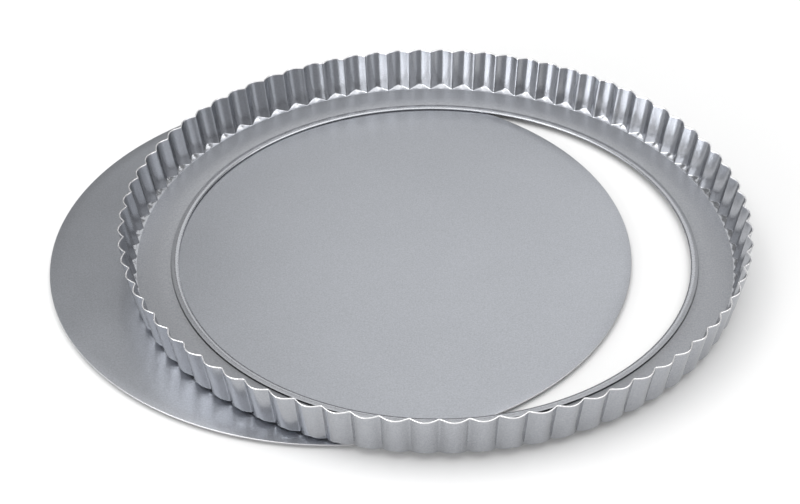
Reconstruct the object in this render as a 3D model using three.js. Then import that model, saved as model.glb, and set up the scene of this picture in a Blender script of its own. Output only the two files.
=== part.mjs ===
// Loose-bottom tart pan: a fluted ring lying on its own loose base, shifted to one side of it.
// Millimetres, +Z up. The origin is the centre of the base's underside, and +X points to where
// the ring's axis stands off the base's centre.
import * as THREE from 'three';

// Driving dimensions of the ring, in millimetres and degrees
const RIM_DIAMETER = 300; // over the outer face of the flutes, at the rim
const RING_HEIGHT = 23; // from the underside of the hem to the rim
const RING_SHEET = 0.6; // thickness of the sheet that the ring is pressed from
const WALL_LEAN = 9.6; // degrees that the wall leans out from upright
const FLUTE_COUNT = 76;
const FLUTE_DEPTH = 2.4; // from a ridge out to the middle of a flute
const RIDGE_ROUNDING = 0.08; // 0 leaves the ridges between flutes sharp, and more rounds them off
const COVE_HEIGHT = 2; // height of the rounded foot in which each flute meets the ledge
const LEDGE_WIDTH = 20; // from the foot of the ridges in to the edge of the opening
const LEDGE_RISE = 0.7; // how much higher the ledge lies at the wall than at the hem
const HEM_WIDTH = 3.6; // of the sheet's edge where it is folded back on top, round the opening
const HEM_HEIGHT = 1; // of the crest of the fold over the hem's underside
const HEM_CROWN = 0.35; // how far the fold's end lies below its crest

// Driving dimensions of the base, in millimetres
const BASE_SHEET = 0.8;
const BASE_CLEARANCE = 3.1; // all round, between the base's edge and the foot of the ridges
const BASE_EDGE_BREAK = 0.15; // bevel that takes the burr off the base's cut edge

// How the two pieces lie, in millimetres
const RING_SHIFT = 45; // from the base's centre to the ring's axis
const SEAT_GAP = 0.2; // between the base and the ring that lies on it

// Fineness of the facets
const FACETS_PER_FLUTE = 4;
const COVE_STEPS = 2;
const HEM_STEPS = 5;
const BASE_FACETS = 120;

// Sizes that follow from the driving dimensions
const leanSlope = Math.tan(THREE.MathUtils.degToRad(WALL_LEAN));
const rimRidgeRadius = RIM_DIAMETER / 2 - RING_SHEET - FLUTE_DEPTH;
const footHeight = LEDGE_RISE + RING_SHEET;
const footRidgeRadius = rimRidgeRadius - (RING_HEIGHT - footHeight) * leanSlope;
const openingRadius = footRidgeRadius - LEDGE_WIDTH;
const baseRadius = footRidgeRadius - BASE_CLEARANCE;

// Finishes: satin metallic coating on steel sheet
const ringMetal = new THREE.MeshStandardMaterial({ color: 0x9a9da2, roughness: 0.42, metalness: 0.9 });
const baseMetal = new THREE.MeshStandardMaterial({ color: 0xa3a7ad, roughness: 0.5, metalness: 0.9 });

// How far out the flutes push the wall at an angle round the ring: 0 on a ridge, 1 in the middle
// of a flute. Each flute is half a sine wave, and the ridges where two of them meet are rounded.
function fluteWave(angle) {
  const turns = (angle * FLUTE_COUNT) / (2 * Math.PI);
  const ramp = 1 - 2 * Math.abs(turns - Math.round(turns));
  const rounded = Math.hypot(ramp, RIDGE_ROUNDING) - RIDGE_ROUNDING;
  const full = Math.hypot(1, RIDGE_ROUNDING) - RIDGE_ROUNDING;
  return Math.sin(((Math.PI / 2) * rounded) / full);
}

// Points of a cove's quarter ellipse, from the ledge up to the wall. fluteShare says how much of
// the flutes' depth each point takes.
function covePoints(start, width, rise) {
  return Array.from({ length: COVE_STEPS + 1 }, (_, step) => {
    const turn = ((Math.PI / 2) * step) / COVE_STEPS;
    const height = start + rise * (1 - Math.cos(turn));
    const lean = Math.max(0, height - footHeight) * leanSlope;
    const radius = footRidgeRadius + width * Math.sin(turn) + lean;
    return { radius, height, fluteShare: Math.sin(turn) };
  });
}

// Points of the folded hem: the fold's end on the ledge, then a quarter ellipse from the crest down
// to the opening's edge, and the underside
function hemPoints() {
  const half = HEM_WIDTH / 2;
  const end = openingRadius + HEM_WIDTH;
  const nose = Array.from({ length: HEM_STEPS + 1 }, (_, step) => {
    const turn = ((Math.PI / 2) * (HEM_STEPS + step)) / HEM_STEPS;
    const radius = openingRadius + half * (1 + Math.cos(turn));
    return { radius, height: HEM_HEIGHT * Math.max(0, Math.sin(turn)), fluteShare: 0 };
  });
  return [
    { radius: end, height: RING_SHEET, fluteShare: 0 },
    { radius: end, height: HEM_HEIGHT - HEM_CROWN, fluteShare: 0 },
    ...nose,
    { radius: end, height: 0, fluteShare: 0 },
  ];
}

// The ring's section through a ridge, as one closed line that runs anticlockwise with the radius
// to the right and the height up
function ringSection() {
  const outside = covePoints(LEDGE_RISE, RING_SHEET, COVE_HEIGHT + RING_SHEET);
  const inside = covePoints(footHeight, 0, COVE_HEIGHT).reverse();
  const rim = [
    { radius: rimRidgeRadius + RING_SHEET, height: RING_HEIGHT, fluteShare: 1 },
    { radius: rimRidgeRadius, height: RING_HEIGHT, fluteShare: 1 },
  ];
  const section = [...outside, ...rim, ...inside, ...hemPoints()];
  return [...section, section[0]];
}

// The section turned round the axis, then pushed out into flutes
function ringGeometry() {
  const section = ringSection();
  const outline = section.map(({ radius, height }) => new THREE.Vector2(radius, height));
  const geometry = new THREE.LatheGeometry(outline, FLUTE_COUNT * FACETS_PER_FLUTE);
  geometry.rotateX(Math.PI / 2);
  const place = geometry.attributes.position;
  for (let i = 0; i < place.count; i += 1) {
    const angle = Math.atan2(place.getY(i), place.getX(i));
    const push = FLUTE_DEPTH * section[i % section.length].fluteShare * fluteWave(angle);
    place.setX(i, place.getX(i) + push * Math.cos(angle));
    place.setY(i, place.getY(i) + push * Math.sin(angle));
  }
  geometry.computeVertexNormals();
  return geometry;
}

// A flat disc with its sharp edges broken
function baseGeometry() {
  const outline = new THREE.Shape().absarc(0, 0, baseRadius, 0, 2 * Math.PI);
  const geometry = new THREE.ExtrudeGeometry(outline, {
    depth: BASE_SHEET - 2 * BASE_EDGE_BREAK,
    curveSegments: BASE_FACETS,
    bevelSize: BASE_EDGE_BREAK,
    bevelOffset: -BASE_EDGE_BREAK,
    bevelThickness: BASE_EDGE_BREAK,
    bevelSegments: 1,
  });
  return geometry.translate(0, 0, BASE_EDGE_BREAK);
}

const looseBase = new THREE.Mesh(baseGeometry(), baseMetal);
looseBase.name = 'loose_base';

const flutedRing = new THREE.Mesh(ringGeometry(), ringMetal);
flutedRing.name = 'fluted_ring';
flutedRing.position.set(RING_SHIFT, 0, BASE_SHEET + SEAT_GAP);

const tartPan = new THREE.Group();
tartPan.name = 'loose_bottom_tart_pan';
tartPan.add(looseBase, flutedRing);

export default tartPan;
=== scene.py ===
"""Loose-bottom tart pan: a fluted ring lying on its own loose base, in satin coated steel.

The ring is one sheet section carried round its axis and pushed out into flutes. The base is one flat
section carried round its centre. Both lie where the frame has them, in metres.
"""

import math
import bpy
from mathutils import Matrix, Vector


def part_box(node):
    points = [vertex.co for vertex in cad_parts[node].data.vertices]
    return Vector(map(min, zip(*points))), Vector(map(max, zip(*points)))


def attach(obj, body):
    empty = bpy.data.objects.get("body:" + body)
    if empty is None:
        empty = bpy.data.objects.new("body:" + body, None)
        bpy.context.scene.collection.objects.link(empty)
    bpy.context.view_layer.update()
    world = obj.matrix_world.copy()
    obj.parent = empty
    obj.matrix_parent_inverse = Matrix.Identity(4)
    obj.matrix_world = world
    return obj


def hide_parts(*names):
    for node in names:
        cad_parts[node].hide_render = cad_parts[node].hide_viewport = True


bl_info = {
    "name": "Loose-bottom tart pan",
    "version": (1, 0, 0),
    "blender": (4, 5, 0),
    "location": "3D View > Sidebar > Tart pan",
    "description": "Builds the fluted ring and the loose base of a tart pan on a pale studio floor",
    "category": "Object",
}

import bpy
import numpy as np
from bpy.props import FloatProperty, FloatVectorProperty, IntProperty, PointerProperty
from mathutils import Matrix, Vector

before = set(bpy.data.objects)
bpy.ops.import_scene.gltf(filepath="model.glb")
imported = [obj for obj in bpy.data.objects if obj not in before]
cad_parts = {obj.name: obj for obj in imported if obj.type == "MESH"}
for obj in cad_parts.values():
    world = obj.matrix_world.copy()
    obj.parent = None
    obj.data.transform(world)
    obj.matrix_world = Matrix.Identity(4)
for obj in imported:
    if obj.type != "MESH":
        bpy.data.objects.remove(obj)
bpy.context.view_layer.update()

MM = 0.001
QUARTER_TURN = math.pi / 2

# Where the frame has the two pieces
ring_low, ring_high = (np.array(corner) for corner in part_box("fluted_ring"))
base_low, base_high = (np.array(corner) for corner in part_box("loose_base"))
RING_AXIS = (ring_low[:2] + ring_high[:2]) / 2
RIM_DIAMETER = float(ring_high[0] - ring_low[0])
RING_HEIGHT = float(ring_high[2] - ring_low[2])
BASE_DIAMETER = float(base_high[0] - base_low[0])
BASE_SHEET = float(base_high[2] - base_low[2])

# How the ring's curves bend
COVE_POWER = 1.6  # 1 makes a cove's section a quarter ellipse, and 2 a straight slope
COVE_TENT = 1.5  # 1 makes the coves' top edge a straight tent over each flute, and more hollows its sides
RIM_POWER = 0.6  # 1 makes the rim's section half an ellipse, and less squares it off

# Where the ring's columns stand between a ridge, 0, and the middle of a flute, 1: closer near the ridge
FLUTE_STATIONS = (0, 0.05, 0.11, 0.19, 0.29, 0.4, 0.52, 0.64, 0.76, 0.88, 1)

# Where the ring's rows stand
WALL_PARTS = (0.02, 0.2, 0.5, 0.8, 0.98)  # from the top of the cove, 0, to the rim, 1
LEDGE_PARTS = (0.5, 0.99)  # from the end of the fold, 0, to the foot of the wall, 1
CREST_PARTS = (1, 0.95, 0.7, 0.35)  # from the fold's crest, 0, to its end, 1
LIP_PARTS = (0.35, 0.7, 1)  # of the quarter turn under the opening's edge

# The base's rows: the innermost, as a share of the flat face, and how much of its corners is bare steel
BASE_INNERMOST = 0.04
BASE_BARE_SHARE = 0.9

# Edges that turn by more than this are shaded sharp
SHARP_ANGLE = math.radians(50)

# The coating's noises, each a scale per metre and a detail, and the middle of their values
GRAIN = (1500.0, 2.0)
SMUDGE = (24.0, 3.0)
RIPPLE = (130.0, 2.0)
NOISE_MIDDLE = 0.5

# What the noises do to the coating
GRAIN_SHARE = 0.85  # of the speckle, and smudges make the rest
SPECKLE_DEPTH = 0.34  # how much darker and lighter than the coating the speckle can get
GRAIN_GLOSS = 0.1  # how much the roughness follows the grain
SMUDGE_GLOSS = 0.06  # how much the roughness follows the smudges
GRAIN_HEIGHT = 0.35  # of the grain's bumps, where the ripple's are 1
BUMP_STRENGTH = 0.25
BUMP_HEIGHT = 0.04 * MM

# Sockets of the Mix node when it mixes colours
MIX_FACTOR, MIX_FIRST, MIX_SECOND = 0, 6, 7
MIX_RESULT = 2

# The photograph's frame, in pixels, and the camera's sensor, in millimetres
IMAGE_WIDTH = 800
IMAGE_HEIGHT = 504
SENSOR_WIDTH = 36.0

# The floor: half of its width, in metres, and its roughness
FLOOR_HALF = 4.0
FLOOR_ROUGHNESS = 0.9

# The softboxes: azimuth anticlockwise from the camera's right and elevation in degrees, distance,
# width and height in metres, and brightness, where 1 shows as white
SOFTBOXES = {
    "overhead": (0, 90, 1.6, 2.0, 2.0, 1.8),
    "high_right": (0, 60, 1.5, 1.0, 0.7, 1.1),
    "high_left": (180, 60, 1.5, 1.0, 0.7, 1.9),
    "high_front": (270, 60, 1.5, 1.0, 0.7, 0.5),
    "right": (0, 39, 1.5, 0.9, 0.5, 2.8),
    "far": (84, 39, 1.5, 0.8, 0.5, 1.03),
    "left": (180, 39, 1.5, 0.9, 0.5, 0.6),
    "low_far": (60, 21, 1.5, 0.8, 0.4, 1.1),
    "low_left": (180, 21, 1.5, 2.3, 0.4, 2.2),
    "low_front": (285, 21, 1.5, 1.6, 0.4, 0.8),
    "low_front_right": (330, 21, 1.5, 0.8, 0.4, 2.4),
    "floor_front_left": (228, 11, 1.5, 1.4, 0.5, 10.0),
}


def length(name, description, default):
    """A length property in metres."""
    return FloatProperty(
        name=name, description=description, default=default, min=0, precision=5, unit="LENGTH"
    )


def colour(name, description, default):
    """A colour property, linear red, green and blue."""
    return FloatVectorProperty(name=name, description=description, default=default, size=3, subtype="COLOR")


def angle(name, description, degrees):
    """An angle property, with its default in degrees."""
    return FloatProperty(name=name, description=description, default=math.radians(degrees), subtype="ANGLE")


def share(name, description, default):
    """A property from 0 to 1."""
    return FloatProperty(name=name, description=description, default=default, min=0, max=1)


def brightness(name, description, default):
    """A light's brightness, where 1 shows as white."""
    return FloatProperty(name=name, description=description, default=default, min=0)


class RingSettings(bpy.types.PropertyGroup):
    """Sizes of the fluted ring that the frame's box doesn't give."""

    sheet: length("Sheet", "Thickness of the ring's sheet", 0.6 * MM)
    wall_lean: angle("Wall lean", "How far the wall leans out from upright", 9.6)
    flute_count: IntProperty(name="Flutes", description="Number of flutes round the wall", default=76, min=8)
    flute_depth: length("Flute depth", "From a ridge out to the middle of a flute", 2.4 * MM)
    ridge_rounding: share("Ridge rounding", "0 leaves the ridges between flutes sharp", 0.08)
    cove_height: length("Cove height", "Height of the sloping foot in the middle of a flute", 2.0 * MM)
    foot_fillet: length("Foot fillet", "Between a ridge's foot and the ledge", 0.12 * MM)
    ledge_width: length("Ledge width", "From the foot of the ridges in to the opening", 20.0 * MM)
    ledge_rise: length("Ledge rise", "How much higher the ledge lies at the wall than at the hem", 0.7 * MM)
    hem_width: length("Hem width", "Of the fold that lies on the ledge round the opening", 3.6 * MM)
    hem_height: length("Hem height", "Of the fold's crest over the hem's underside", 1.15 * MM)
    hem_crown: length("Hem crown", "How far the fold's end lies below its crest", 0.15 * MM)
    hem_lip: length("Hem lip", "Radius under the fold, at the opening's edge", 0.45 * MM)
    hem_gap: length("Hem gap", "Height of the gap under the end of the fold", 0.7 * MM)
    hem_dip: length("Hem dip", "Width of the slope from the ledge down into the gap", 0.9 * MM)
    gap_reach: share("Gap reach", "How much of the hem's width the gap reaches in under it", 0.6)
    fold_edge: length("Fold edge", "Thickness of the fold at its end", 0.05 * MM)


class BaseSettings(bpy.types.PropertyGroup):
    """Sizes of the loose base that the frame's box doesn't give."""

    edge_rounding: length("Edge rounding", "Radius on the corners of the cut edge", 0.2 * MM)


class FinishSettings(bpy.types.PropertyGroup):
    """Colours and gloss of the two pieces."""

    wall_colour: colour("Wall", "Coating of the ring's wall and the hem's edge", (0.395, 0.405, 0.428))
    ledge_colour: colour("Ledge", "Coating of the ring's ledge and the hem's crest", (0.33, 0.338, 0.357))
    base_colour: colour("Base", "Coating of the base", (0.406, 0.42, 0.45))
    rim_edge: colour("Rim edge", "Steel laid bare along the ring's rim", (0.75, 0.75, 0.76))
    base_edge: colour("Base edge", "Steel laid bare along the base's cut edge", (0.5, 0.5, 0.51))
    base_roughness: share("Base roughness", "Roughness of the base", 0.34)
    ledge_roughness: share("Ledge roughness", "Roughness of the ring's ledge and the hem's crest", 0.42)
    wall_roughness: share("Wall roughness", "Roughness of the ring's wall and the hem's edge", 0.2)


class StageSettings(bpy.types.PropertyGroup):
    """Floor, light and camera."""

    floor_colour: colour("Floor", "Colour of the floor", (0.7, 0.7, 0.7))
    floor_drop: length("Floor drop", "How far the floor lies under the base", 1.8 * MM)
    surround: brightness("Surround", "Brightness of the studio's walls", 0.35)
    softboxes: brightness("Softboxes", "Brightness of all the softboxes, where 1 is as set", 0.94)
    elevation: angle("Elevation", "How far the camera looks down", 37.17)
    azimuth: angle("Azimuth", "How far the camera is turned from looking along +Y", 2.79)
    roll: angle("Roll", "How far the camera is tipped", -0.32)
    focal_pixels: FloatProperty(name="Focal length", description="In pixels of the photograph", default=1530)
    depth: length("Depth", "From the camera to the middle of the rim, along the view", 0.7303)
    rim_pixel: FloatVectorProperty(
        name="Rim centre",
        description="Pixel where the middle of the rim lands",
        default=(434.5, 205.6),
        size=2,
    )


def surface_mesh(name, points, closed_rows):
    """A mesh of quads on a grid of points, rows by columns by 3, closed round the columns.

    With closed_rows the last row joins the first. Otherwise the first and last rows are each
    gathered in one pole. The grid is ordered so that rows cross columns points outwards.
    """
    rows, columns = points.shape[:2]
    row = np.arange(rows if closed_rows else rows - 1)[:, None]
    column = np.arange(columns)[None, :]
    next_row = (row + 1) % rows
    next_column = (column + 1) % columns
    corners = np.stack(
        np.broadcast_arrays(
            row * columns + column,
            row * columns + next_column,
            next_row * columns + next_column,
            next_row * columns + column,
        ),
        axis=-1,
    ).reshape(-1, 4)
    faces = [corners]
    vertices = points.reshape(-1, 3)
    mesh = bpy.data.meshes.new(name)
    if not closed_rows:
        poles = np.stack([points[0].mean(axis=0), points[-1].mean(axis=0)])
        first, last = rows * columns, rows * columns + 1
        vertices = np.concatenate([vertices, poles])
        here, there = column[0], next_column[0]
        end = (rows - 1) * columns
        faces.append(np.stack([np.full(columns, first), there, here], axis=-1))
        faces.append(np.stack([np.full(columns, last), end + here, end + there], axis=-1))
    mesh.from_pydata(vertices, [], [face for block in faces for face in block.tolist()])
    mesh.shade_smooth()
    return mesh


def row_attribute(mesh, name, row_values, columns):
    """A number on every point of a grid mesh, the same all along each row. Poles get 0."""
    values = np.zeros(len(mesh.vertices), dtype=np.float32)
    spread = np.repeat(row_values, columns)
    values[: len(spread)] = spread
    mesh.attributes.new(name, "FLOAT", "POINT").data.foreach_set("value", values)


def flute_wave(ramp, ring):
    """How far out the flutes push the wall, 0 on a ridge and 1 in the middle of a flute.

    A ramp goes from 0 on a ridge to 1 in the middle. Each flute is half a sine wave of it, and the
    ridges where two of them meet are rounded: sqrt(ramp ** 2 + rounding ** 2).
    """
    rounding = ring.ridge_rounding
    rounded = (np.hypot(ramp, rounding) - rounding) / (math.hypot(1, rounding) - rounding)
    return np.sin(QUARTER_TURN * rounded)


class RingSection:
    """The ring's section. Its methods give lines that run all round the ring.

    A line is a radius and a height over the hem's underside, each an array with one value for
    every column. Columns stand closer together on the ridges.
    """

    def __init__(self, ring):
        stations = np.array(FLUTE_STATIONS)
        flute = np.concatenate([stations / 2, 1 - stations[-2:0:-1] / 2])
        turns = (np.arange(ring.flute_count)[:, None] + 0.5 + flute).ravel()
        ramp = 1 - 2 * np.abs(turns - np.round(turns))
        rim_ridge = RIM_DIAMETER / 2 - ring.sheet - ring.flute_depth
        self.ring = ring
        self.bearing = turns * 2 * math.pi / ring.flute_count
        self.push = ring.flute_depth * flute_wave(ramp, ring)
        self.lean = math.tan(ring.wall_lean)
        self.foot_height = ring.ledge_rise + ring.sheet
        self.foot = rim_ridge - (RING_HEIGHT - self.foot_height) * self.lean
        self.opening = self.foot - ring.ledge_width
        self.fold_end = self.opening + ring.hem_width
        self.ledge_run = self.foot - ring.foot_fillet - self.fold_end
        self.cove_top = ring.foot_fillet + (ring.cove_height - ring.foot_fillet) * ramp ** COVE_TENT
        # the sheet is as thick across the flanks of the flutes as it is on the ridges
        slope = np.gradient(self.push, self.bearing) / rim_ridge
        self.thickness = ring.sheet * np.sqrt(1 + slope ** 2)

    def wall_radius(self, height):
        return self.foot + np.maximum(0, height - self.foot_height) * self.lean

    def circle(self, radius, height):
        columns = len(self.bearing)
        return np.full(columns, radius), np.full(columns, height)

    def cove(self, turn, outside):
        """From the ledge, at turn 0, to the wall, at a quarter turn: nearly flat, with round corners."""
        fillet = self.ring.foot_fillet
        start = self.ring.ledge_rise if outside else self.foot_height
        rise = self.cove_top + self.foot_height - start
        width = self.push + fillet + (self.thickness if outside else 0.0)
        height = start + rise * (1 - math.cos(turn) ** COVE_POWER)
        radius = self.wall_radius(height) - fillet + width * math.sin(turn) ** COVE_POWER
        return radius, height

    def wall(self, part, outside):
        """A straight line from the top of the cove, at part 0, to the rim's rounding, at part 1."""
        start = self.foot_height + self.cove_top
        height = start + (RING_HEIGHT - self.ring.sheet / 2 - start) * part
        return self.wall_radius(height) + self.push + (self.thickness if outside else 0.0), height

    def rim(self, turn):
        """Half a squared-off ellipse over the cut edge, from the outside, at turn 0, to the inside."""
        across = np.sign(np.cos(turn)) * np.abs(np.cos(turn)) ** RIM_POWER
        height = RING_HEIGHT - self.ring.sheet / 2 * (1 - np.abs(np.sin(turn)) ** RIM_POWER)
        radius = self.wall_radius(height) + self.push + self.thickness * (1 + across) / 2
        return radius, np.full(len(self.bearing), height)

    def ledge(self, part, low):
        """A straight line from the end of the fold, at part 0, to the foot of the wall, at part 1."""
        return self.circle(self.fold_end + part * self.ledge_run, low + part * self.ring.ledge_rise)

    def gap(self):
        """The gap under the fold: its floor, going inwards, and its roof, back to the fold's end."""
        inner = self.fold_end - self.ring.gap_reach * self.ring.hem_width
        roof = self.ring.hem_height - self.ring.hem_crown - self.ring.fold_edge
        low = roof - self.ring.hem_gap
        return [
            self.circle(self.fold_end, low),
            self.circle(inner, low),
            self.circle(inner, roof),
            self.circle(self.fold_end, roof),
        ]

    def crest(self, part):
        """The top of the fold, a parabola from its crest, at part 0, to its end, at part 1."""
        radius = self.opening + self.ring.hem_width / 2 * (1 + part)
        return self.circle(radius, self.ring.hem_height - self.ring.hem_crown * part ** 2)

    def nose(self, turn):
        """A quarter ellipse from the crest, at a quarter turn, to the opening's edge, at half a turn."""
        radius = self.opening + self.ring.hem_width / 2 * (1 + math.cos(turn))
        rise = (self.ring.hem_height - self.ring.hem_lip) * math.sin(turn)
        return self.circle(radius, self.ring.hem_lip + rise)

    def lip(self, turn):
        """A quarter circle from the opening's edge, at turn 0, to the underside, at a quarter turn."""
        lip = self.ring.hem_lip
        return self.circle(self.opening + lip * (1 - math.cos(turn)), lip * (1 - math.sin(turn)))


def ring_grid(ring, outer_cove_steps=6, inner_cove_steps=9, rim_steps=6, hem_steps=9):
    """Points of the ring, then for each row of them 1 or 0 for cut edge, and 1 or 0 for pressed wall.

    Each row is one line all round the ring. Going up the outside: the underside, a cove as wide
    as the flute is deep, and the wall, which leans out. Then over the rounded rim and down the
    inside: the wall, the cove, the ledge, the gap under the end of the hem's fold, the fold's low
    crest, its nose and a lip under that. Rows stand closer together at the creases.
    """
    section = RingSection(ring)
    outer_turns = np.linspace(0, QUARTER_TURN, outer_cove_steps + 1)
    inner_turns = np.linspace(QUARTER_TURN, 0, inner_cove_steps + 1)
    rim_turns = np.linspace(0, 2 * QUARTER_TURN, rim_steps + 1)[1:-1]
    nose_turns = np.linspace(QUARTER_TURN, 2 * QUARTER_TURN, hem_steps + 1)
    dip_part = ring.hem_dip / section.ledge_run

    under = [section.circle(section.fold_end, 0.0)]
    under += [section.ledge(part, 0.0) for part in LEDGE_PARTS]
    outside = [section.cove(turn, True) for turn in outer_turns]
    outside += [section.wall(part, True) for part in WALL_PARTS]
    rim = [section.rim(turn) for turn in rim_turns]
    rim = [section.wall(1, True), *rim, section.wall(1, False)]
    inside = [section.wall(part, False) for part in WALL_PARTS[::-1]]
    inside += [section.cove(turn, False) for turn in inner_turns[:-1]]
    top = [section.cove(inner_turns[-1], False)]
    top += [section.ledge(part, ring.sheet) for part in (*LEDGE_PARTS[::-1], dip_part)]
    top += section.gap()
    top += [section.crest(part) for part in CREST_PARTS]
    nose = [section.nose(turn) for turn in nose_turns]
    nose += [section.lip(part * QUARTER_TURN) for part in LIP_PARTS]

    # each band of lines, then whether it is cut edge, and whether it is pressed wall
    bands = ((under, 0, 0), (outside, 0, 1), (rim, 1, 1), (inside, 0, 1), (top, 0, 0), (nose, 0, 1))
    lines = [line for band, _, _ in bands for line in band]
    edge = np.concatenate([np.full(len(band), is_cut) for band, is_cut, _ in bands])
    pressed = np.concatenate([np.full(len(band), is_wall) for band, _, is_wall in bands])
    radius = np.stack([line[0] for line in lines])
    height = np.stack([line[1] for line in lines]) + ring_low[2]
    x = RING_AXIS[0] + radius * np.cos(section.bearing)
    y = RING_AXIS[1] + radius * np.sin(section.bearing)
    return np.stack([x, y, height], axis=-1), edge, pressed


def base_grid(base, columns=360, face_steps=24, corner_steps=4):
    """Points of the base, then for each row of them 1 or 0 for cut edge.

    A flat section carried round the centre: out along the underside, round the two corners of the
    cut edge, each a quarter circle, and back in along the top.
    """
    radius = BASE_DIAMETER / 2
    rounding = base.edge_rounding
    face = np.linspace(BASE_INNERMOST, 1, face_steps) * (radius - rounding)
    turns = np.linspace(0, QUARTER_TURN, corner_steps + 1)[1:]
    lower = [(radius - rounding * (1 - math.sin(t)), rounding * (1 - math.cos(t))) for t in turns]
    upper = [(r, BASE_SHEET - z) for r, z in reversed(lower)]
    section = [(r, 0.0) for r in face] + lower + upper + [(r, BASE_SHEET) for r in face[::-1]]
    section = np.array(section)
    bearing = np.arange(columns) * 2 * math.pi / columns
    x = section[:, :1] * np.cos(bearing)
    y = section[:, :1] * np.sin(bearing)
    z = base_low[2] + section[:, 1:]
    points = np.stack(np.broadcast_arrays(x, y, z), axis=-1)
    edge = (section[:, 0] > radius - rounding * BASE_BARE_SHARE).astype(float)
    return points, edge


class Value:
    """A number on a socket. Its operators add Math nodes."""

    def __init__(self, recipe, socket):
        self.recipe = recipe
        self.socket = socket

    def math(self, operation, first, second):
        return self.recipe.node("ShaderNodeMath", {"operation": operation}, {0: first, 1: second})

    def __add__(self, other):
        return self.math("ADD", self, other)

    def __radd__(self, other):
        return self.math("ADD", other, self)

    def __sub__(self, other):
        return self.math("SUBTRACT", self, other)

    def __rsub__(self, other):
        return self.math("SUBTRACT", other, self)

    def __mul__(self, other):
        return self.math("MULTIPLY", self, other)

    def __rmul__(self, other):
        return self.math("MULTIPLY", other, self)


class Recipe:
    """A material being mixed: a node tree with one Principled shader."""

    def __init__(self, name):
        self.material = bpy.data.materials.new(name)
        self.material.use_nodes = True
        self.tree = self.material.node_tree
        self.tree.nodes.clear()

    def node(self, kind, settings=None, inputs=None, output=0):
        """Adds a node, sets its settings and then its sockets, and gives back one of its outputs."""
        made = self.tree.nodes.new(kind)
        for name, value in (settings or {}).items():
            setattr(made, name, value)
        for key, value in (inputs or {}).items():
            if isinstance(value, Value):
                self.tree.links.new(value.socket, made.inputs[key])
            else:
                made.inputs[key].default_value = value
        return Value(self, made.outputs[output])

    def noise(self, place, scale, detail):
        return self.node("ShaderNodeTexNoise", {}, {"Vector": place, "Scale": scale, "Detail": detail})

    def attribute(self, name):
        """A number that the mesh carries on its points."""
        return self.node("ShaderNodeAttribute", {"attribute_name": name}, {}, "Fac")

    def mix(self, factor, first, second):
        """A colour between two colours."""
        inputs = {MIX_FACTOR: factor, MIX_FIRST: first, MIX_SECOND: second}
        return self.node("ShaderNodeMix", {"data_type": "RGBA"}, inputs, MIX_RESULT)

    def finish(self, sockets):
        surface = self.node("ShaderNodeBsdfPrincipled", {}, sockets)
        output = self.tree.nodes.new("ShaderNodeOutputMaterial")
        self.tree.links.new(surface.socket, output.inputs["Surface"])
        return self.material


def coated_steel(name, flat, wall, bare_edge):
    """Satin coating with a fine metallic grain and faint smudges, and bright steel along the cut edges.

    The press has burnished the wall, which is glossier than the flat sheet and has a slow ripple.
    Flat and wall are each a colour and a roughness.
    """
    recipe = Recipe(name)
    flat_colour, flat_roughness = flat
    wall_colour, wall_roughness = wall
    place = recipe.node("ShaderNodeTexCoord", output="Object")
    grain = recipe.noise(place, *GRAIN)
    smudge = recipe.noise(place, *SMUDGE)
    ripple = recipe.noise(place, *RIPPLE)
    edge = recipe.attribute("cut_edge")
    pressed = recipe.attribute("pressed_wall")
    speckle = grain * GRAIN_SHARE + smudge * (1 - GRAIN_SHARE)

    def speckled(tint):
        dark = [(1 - SPECKLE_DEPTH) * part for part in tint]
        light = [(1 + SPECKLE_DEPTH) * part for part in tint]
        return recipe.mix(speckle, (*dark, 1), (*light, 1))

    coat = recipe.mix(pressed, speckled(flat_colour), speckled(wall_colour))
    tone = recipe.mix(edge, coat, (*bare_edge, 1))
    gloss = flat_roughness + pressed * (wall_roughness - flat_roughness)
    gloss = gloss + (grain - NOISE_MIDDLE) * GRAIN_GLOSS + (smudge - NOISE_MIDDLE) * SMUDGE_GLOSS
    height = grain * GRAIN_HEIGHT + ripple * pressed
    bumps = {"Strength": BUMP_STRENGTH, "Distance": BUMP_HEIGHT, "Height": height}
    relief = recipe.node("ShaderNodeBump", {}, bumps)
    return recipe.finish({"Base Color": tone, "Metallic": 1.0, "Roughness": gloss, "Normal": relief})


def plain_floor(tint):
    """Matt pale floor."""
    recipe = Recipe("pale_floor")
    sockets = {"Base Color": (*tint, 1), "Roughness": FLOOR_ROUGHNESS, "Specular IOR Level": 0.0}
    return recipe.finish(sockets)


def add_piece(mesh, material):
    """A mesh in the scene, at the origin, with its material."""
    mesh.materials.append(material)
    piece = bpy.data.objects.new(mesh.name, mesh)
    bpy.context.scene.collection.objects.link(piece)
    return piece


class TARTPAN_OT_fluted_ring(bpy.types.Operator):
    """Add the fluted ring"""

    bl_idname = "tartpan.fluted_ring"
    bl_label = "Fluted ring"

    def execute(self, context):
        finish = context.scene.tart_finish
        points, edge, pressed = ring_grid(context.scene.tart_ring)
        mesh = surface_mesh("fluted_ring_sheet", points, True)
        row_attribute(mesh, "cut_edge", edge, points.shape[1])
        row_attribute(mesh, "pressed_wall", pressed, points.shape[1])
        mesh.set_sharp_from_angle(angle=SHARP_ANGLE)
        ledge = (finish.ledge_colour, finish.ledge_roughness)
        wall = (finish.wall_colour, finish.wall_roughness)
        metal = coated_steel("ring_coating", ledge, wall, finish.rim_edge)
        piece = add_piece(mesh, metal)
        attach(piece, "ring")
        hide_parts("fluted_ring")
        return {"FINISHED"}


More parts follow.
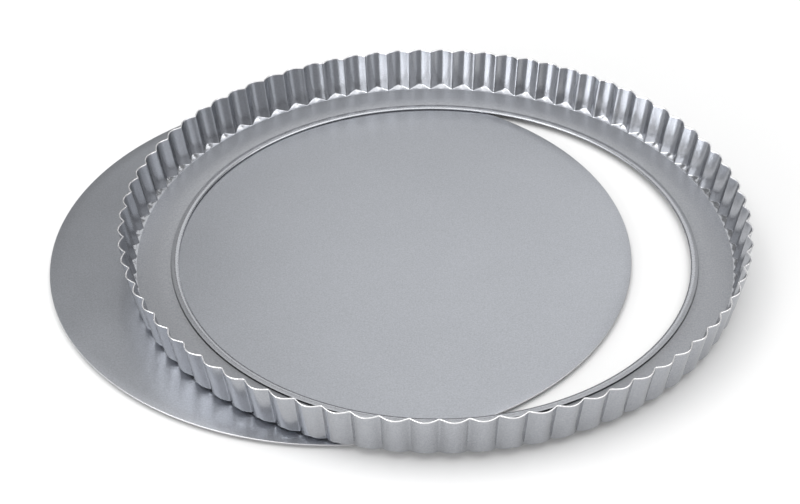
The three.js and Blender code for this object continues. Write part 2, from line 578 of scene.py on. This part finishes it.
class TARTPAN_OT_loose_base(bpy.types.Operator):
    """Add the loose base"""

    bl_idname = "tartpan.loose_base"
    bl_label = "Loose base"

    def execute(self, context):
        finish = context.scene.tart_finish
        points, edge = base_grid(context.scene.tart_base)
        mesh = surface_mesh("loose_base_disc", points, False)
        row_attribute(mesh, "cut_edge", edge, points.shape[1])
        mesh.set_sharp_from_angle(angle=SHARP_ANGLE)
        sheet = (finish.base_colour, finish.base_roughness)
        metal = coated_steel("base_coating", sheet, sheet, finish.base_edge)
        piece = add_piece(mesh, metal)
        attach(piece, "base")
        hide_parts("loose_base")
        return {"FINISHED"}


def add_floor(stage):
    """A wide square floor just under the base."""
    low = float(base_low[2]) - stage.floor_drop
    square = ((-1, -1), (1, -1), (1, 1), (-1, 1))
    mesh = bpy.data.meshes.new("floor")
    mesh.from_pydata([(x * FLOOR_HALF, y * FLOOR_HALF, low) for x, y in square], [], [(0, 1, 2, 3)])
    floor = add_piece(mesh, plain_floor(stage.floor_colour))


def add_softbox(stage, name, azimuth, elevation, distance, width, height, strength):
    """A rectangular area light that faces the pan.

    An area light of brightness 1 gives out pi watts from each square metre.
    """
    way = Matrix.Rotation(stage.azimuth + math.radians(azimuth), 3, "Z") @ Vector((1, 0, 0))
    rise = math.radians(elevation)
    aim = Vector((*RING_AXIS / 2, 0))
    place = aim + distance * (way * math.cos(rise) + Vector((0, 0, math.sin(rise))))
    lamp = bpy.data.lights.new(name, "AREA")
    lamp.shape = "RECTANGLE"
    lamp.size, lamp.size_y = width, height
    lamp.energy = stage.softboxes * strength * math.pi * width * height
    light = bpy.data.objects.new(name + "_softbox", lamp)
    light.location = place
    light.rotation_euler = (aim - place).to_track_quat("-Z", "Y").to_euler()
    light.visible_camera = False
    bpy.context.scene.collection.objects.link(light)


def add_surround(strength):
    """The studio's walls, as an even pale world."""
    world = bpy.data.worlds.new("studio")
    world.use_nodes = True
    back = world.node_tree.nodes["Background"]
    back.inputs["Color"].default_value = (1, 1, 1, 1)
    back.inputs["Strength"].default_value = strength
    bpy.context.scene.world = world


def add_camera(stage):
    """A camera that puts the middle of the rim on its pixel, at the photograph's angle."""
    heading = Matrix.Rotation(stage.azimuth, 3, "Z")
    look = heading @ Vector((0, math.cos(stage.elevation), -math.sin(stage.elevation)))
    level = heading @ Vector((1, 0, 0))
    right = Matrix.Rotation(-stage.roll, 3, look) @ level
    up = right.cross(look)
    across = (stage.rim_pixel[0] - IMAGE_WIDTH / 2) / stage.focal_pixels
    down = (stage.rim_pixel[1] - IMAGE_HEIGHT / 2) / stage.focal_pixels
    rim_centre = Vector((*RING_AXIS, ring_high[2]))
    data = bpy.data.cameras.new("camera")
    data.sensor_width = SENSOR_WIDTH
    data.lens = stage.focal_pixels / IMAGE_WIDTH * SENSOR_WIDTH
    camera = bpy.data.objects.new("camera", data)
    place = rim_centre - stage.depth * (look + across * right - down * up)
    turned = Matrix((right, up, -look)).transposed()
    camera.matrix_world = Matrix.Translation(place) @ turned.to_4x4()
    bpy.context.scene.collection.objects.link(camera)
    bpy.context.scene.camera = camera


class TARTPAN_OT_stage(bpy.types.Operator):
    """Add the floor, the light and the camera"""

    bl_idname = "tartpan.stage"
    bl_label = "Stage"

    def execute(self, context):
        stage = context.scene.tart_stage
        context.scene.view_settings.view_transform = "Standard"
        add_floor(stage)
        add_surround(stage.surround)
        for name, place in SOFTBOXES.items():
            add_softbox(stage, name, *place)
        add_camera(stage)
        return {"FINISHED"}


class TARTPAN_PT_panel(bpy.types.Panel):
    """The pan's pieces and their settings"""

    bl_idname = "TARTPAN_PT_panel"
    bl_label = "Tart pan"
    bl_space_type = "VIEW_3D"
    bl_region_type = "UI"
    bl_category = "Tart pan"

    def draw(self, context):
        for group, operator in (
            ("tart_ring", TARTPAN_OT_fluted_ring),
            ("tart_base", TARTPAN_OT_loose_base),
            ("tart_finish", None),
            ("tart_stage", TARTPAN_OT_stage),
        ):
            box = self.layout.box()
            settings = getattr(context.scene, group)
            for name in settings.__annotations__:
                box.prop(settings, name)
            if operator:
                box.operator(operator.bl_idname)


CLASSES = (
    RingSettings,
    BaseSettings,
    FinishSettings,
    StageSettings,
    TARTPAN_OT_fluted_ring,
    TARTPAN_OT_loose_base,
    TARTPAN_OT_stage,
    TARTPAN_PT_panel,
)
GROUPS = {
    "tart_ring": RingSettings,
    "tart_base": BaseSettings,
    "tart_finish": FinishSettings,
    "tart_stage": StageSettings,
}


def register():
    for made in CLASSES:
        bpy.utils.register_class(made)
    for name, group in GROUPS.items():
        setattr(bpy.types.Scene, name, PointerProperty(type=group))


def unregister():
    for name in GROUPS:
        delattr(bpy.types.Scene, name)
    for made in reversed(CLASSES):
        bpy.utils.unregister_class(made)


def main():
    register()
    bpy.ops.tartpan.loose_base()
    bpy.ops.tartpan.fluted_ring()
    bpy.ops.tartpan.stage()


if __name__ == "__main__":
    main()
